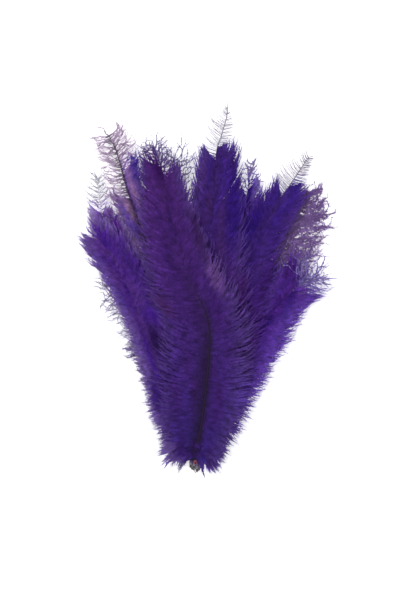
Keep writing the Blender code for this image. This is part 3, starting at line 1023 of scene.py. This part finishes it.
def dyed_shaft(plume, look):
    """Dense keratin: dark, with a painted highlight along its groove; the cut quill is horn grey.
    """
    made, add = new_material(plume.name + "_dyed_shaft")
    on_map = add("ShaderNodeUVMap", uv_map="OFBake")
    run, up, _ = add(SPLIT_XYZ, on_map).outputs
    along, tip, groove_highlight = look.shaft_dye
    rim, inside = look.mouth
    flakes = add(NOISE, add("VECTOR MULTIPLY", on_map, HORN_FLAKES), 1.0)
    horn = layered(add, HORN_GREY, (flakes, rim))
    in_wisp = add(RANGE, run, *(plume.wisp[0][0] + change for change in WISP_CHANGE))
    colour = layered(
        add, along, (in_wisp, tip), (add(RANGE, up, *GROOVE_HIGHLIGHT, 0.0, 0.6), groove_highlight),
        (add(RANGE, run, *BARE_QUILL, 1.0, 0.0), horn),
        (add(RANGE, run, *HOLLOW, 1.0, 0.0), inside),
    )
    add(OUTPUT, add(SURFACE, {"Base Color": colour, "Roughness": 0.6, "Specular IOR Level": 0.15}))
    return made


# %% [markdown]
# ## Growing the plumes
# The tree is set up as a modifier on each growth mesh, its inputs are set by their
# identifiers, and the evaluated result is kept as a plain mesh.

# %% Grow every plume
def new_object(name, data):
    made = bpy.data.objects.new(name, data)
    bpy.context.scene.collection.objects.link(made)
    return made


def grown_mesh(mesh, tree, values):
    """What the tree makes of a mesh, as a plain mesh. Inputs go by identifier."""
    holder = new_object("holder", mesh)
    modifier = holder.modifiers.new("grow", "NODES")
    modifier.node_group = tree
    for item in tree.interface.items_tree:
        if item.item_type == "SOCKET" and item.in_out == "INPUT" and item.name in values:
            modifier[item.identifier] = values[item.name]
    bpy.context.view_layer.update()
    graph = bpy.context.evaluated_depsgraph_get()
    grown = bpy.data.meshes.new_from_object(holder.evaluated_get(graph))
    bpy.data.objects.remove(holder)
    return grown


def add_piece(name, mesh, node, slot):
    """Puts a finished mesh in place of its solid."""
    mesh.name = name
    piece = new_object(name, mesh)
    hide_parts(node)
    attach(piece, "root")
    triangles = sum(len(face.vertices) - 2 for face in mesh.polygons)
    print(name, "triangles:", triangles)
    return triangles


def grow_plume(number, plume):
    look = LOOKS[plume.name]
    values = {
        "Barbules per barb": look.barbules,
        "Seed": 100 + number,
        "Barb material": dyed_barbs(plume, look),
        "Shaft material": dyed_shaft(plume, look),
    }
    mesh = grown_mesh(growth_mesh(plume, look, number), PLUME_TREE, values)
    return add_piece(plume.name + "_feather", mesh, plume.name, look.slot)


total = sum(grow_plume(number, plume) for number, plume in enumerate(PLUMES))
print("all plumes, triangles:", total)

# %% [markdown]
# ## The thread that ties the quills
# Dark thread is wound round the quills in turns that lie side by side. One line goes
# round and round the bundle, and a node tree sweeps two strands along it that twist
# about each other, which is what makes spun thread look like thread.

# %% The path of the thread
THREAD_TURNS = 12
BAND_WIDTH = 6.0 * MM
THREAD_STEP = 0.8 * MM
POINTS_PER_QUILL = 12


def bundle_outline(offset):
    """The outline of a thread pulled tight round all the quills, at an offset from them."""
    around = []
    for plume in PLUMES:
        centre = Vector((plume.slot[0] * SLOT_PITCH / 2, FIRST_ROW + plume.slot[1] * ROW_PITCH))
        for corner in range(POINTS_PER_QUILL):
            turn = 2 * math.pi * corner / POINTS_PER_QUILL
            out = Vector((math.cos(turn), math.sin(turn)))
            around.append(centre + (QUILL_RADIUS + offset) * out)
    return [around[index] for index in convex_hull_2d(around)]


def even_loop(outline, step):
    """Points at even steps round a closed outline."""
    closed = outline + outline[:1]
    whole = line_length(closed)
    count = round(whole / step)
    return [at_length(closed, whole * index / count) for index in range(count)]


def thread_path():
    turn = even_loop(bundle_outline(CLEARANCE + THREAD_THICKNESS / 2), THREAD_STEP)
    count = len(turn) * THREAD_TURNS
    path = []
    for index in range(count + 1):
        point = turn[index % len(turn)]
        along = BAND_WIDTH * (index / count - 0.5) * (1 - 1 / THREAD_TURNS)
        path.append((TIE.x + point.x, TIE.y + along, point.y))
    return path


# %% The tree that spins the thread
THREAD_INPUTS = [
    ("Path", "Geometry"),
    ("Strand radius", "Float", 0.14 * MM),
    ("Strand offset", "Float", 0.11 * MM),
    ("Twist per point", "Float", 0.9),
    ("Thread material", "Material"),
]
STRAND_SIDES = 5


def thread_tree():
    tree, add, given = new_tree("Spun thread", THREAD_INPUTS)
    tilt = add("MULTIPLY", add(INDEX), given["Twist per point"])
    curve = add("GeometryNodeSetCurveTilt", add(TO_CURVE, given["Path"]), True, tilt)
    strand = add(CIRCLE, STRAND_SIDES, given["Strand radius"])
    strands = []
    for side in (1.0, -1.0):
        offset = add(JOIN_XYZ, add("MULTIPLY", given["Strand offset"], side))
        strands.append(add("GeometryNodeTransform", strand, offset))
    thread = add(REALIZE, add(SWEEP, curve, add(JOIN, strands), 1.0, True))
    add("NodeGroupOutput", add(SET_MATERIAL, thread, True, given["Thread material"]))
    return tree


# %% The finish of the thread
# A cotton fibre is about 0.02 mm thick, which is too fine to show, so the noise draws
# clumps of fibres of about 0.1 mm.
FIBRE_CLUMPS_PER_METRE = 9000.0


def spun_thread():
    """Dull dark cotton: fine fibres with painted highlights where they stand up, and a soft sheen.
    """
    made, add = new_material("spun_thread")
    place = add("ShaderNodeTexCoord").outputs["Object"]
    fibres = add(NOISE, place, FIBRE_CLUMPS_PER_METRE)
    bump = {"Strength": 0.4, "Distance": 0.05 * MM, "Height": fibres}
    # The lighter colour on fibres that stand up in the bump is a painted highlight.
    add(OUTPUT, add(SURFACE, {
        "Base Color": layered(add, "191322", (add(RANGE, fibres, 0.35, 0.65), "342A48")),
        "Roughness": 0.85, "Specular IOR Level": 0.2, "Sheen Weight": 0.3,
        "Sheen Tint": "7A6C94", "Normal": add("ShaderNodeBump", bump),
    }))
    return made


# %% Wind the thread
path = thread_path()
path_mesh = bpy.data.meshes.new("thread_path")
path_mesh.from_pydata(path, [(index, index + 1) for index in range(len(path) - 1)], [])
wound = grown_mesh(path_mesh, thread_tree(), {"Thread material": spun_thread()})
total += add_piece("wound_thread", wound, "binding_thread", "thread")
thread_length = line_length([Vector(point) for point in path])
print("thread length in mm:", round(thread_length / MM), "all triangles:", total)

# %% [markdown]
# ## Floor, light and camera
# The bunch can't stand, so the camera looks straight down on it, with one millimetre
# to each pixel of the photograph. The light is broad and soft, as round a product on
# white paper, and the paper glows a little so that it stays white.

# %% The floor
FLOOR_HALF = 6.0
corners = [(x * FLOOR_HALF, y * FLOOR_HALF, 0) for x, y in ((-1, -1), (1, -1), (1, 1), (-1, 1))]
floor_mesh = bpy.data.meshes.new("floor")
floor_mesh.from_pydata(corners, [], [(0, 1, 2, 3)])
paper, add = new_material("white_paper")
add(OUTPUT, add(SURFACE, {
    "Base Color": (0.9, 0.9, 0.9, 1), "Roughness": 0.9, "Specular IOR Level": 0.1,
    "Emission Color": (1, 1, 1, 1), "Emission Strength": 0.45,
}))
floor_mesh.materials.append(paper)
floor = new_object("floor", floor_mesh)

# %% The light
KEY_PLACE = (-0.7, 0.9, 1.6)
KEY_SIZE = 1.2
KEY_POWER = 14
SKY_POWER = 0.85
light = bpy.data.lights.new("key", "AREA")
light.shape = "SQUARE"
light.size = KEY_SIZE
light.energy = KEY_POWER
lamp = new_object("key", light)
lamp.location = KEY_PLACE
lamp.rotation_euler = (-Vector(KEY_PLACE)).to_track_quat("-Z", "Y").to_euler()
world = bpy.data.worlds.new("studio")
world.use_nodes = True
sky = world.node_tree.nodes["Background"].inputs
sky["Color"].default_value = (1, 1, 1, 1)
sky["Strength"].default_value = SKY_POWER
bpy.context.scene.world = world
bpy.context.scene.view_settings.view_transform = "Standard"

# %% The camera
PHOTO_SIZE = (400, 600)
TIE_IN_PHOTO = (195.5, 458.0)
LENS, SENSOR = 100.0, 36.0
PLUME_HEIGHT = 0.015
lens = bpy.data.cameras.new("camera")
lens.lens = LENS
lens.sensor_width = SENSOR
camera = new_object("camera", lens)
from_tie = Vector((PHOTO_SIZE[0] / 2 - TIE_IN_PHOTO[0], TIE_IN_PHOTO[1] - PHOTO_SIZE[1] / 2))
centre = from_tie * MM + TIE
camera.location = (centre.x, centre.y, PLUME_HEIGHT + LENS / SENSOR * PHOTO_SIZE[1] * MM)
bpy.context.scene.camera = camera
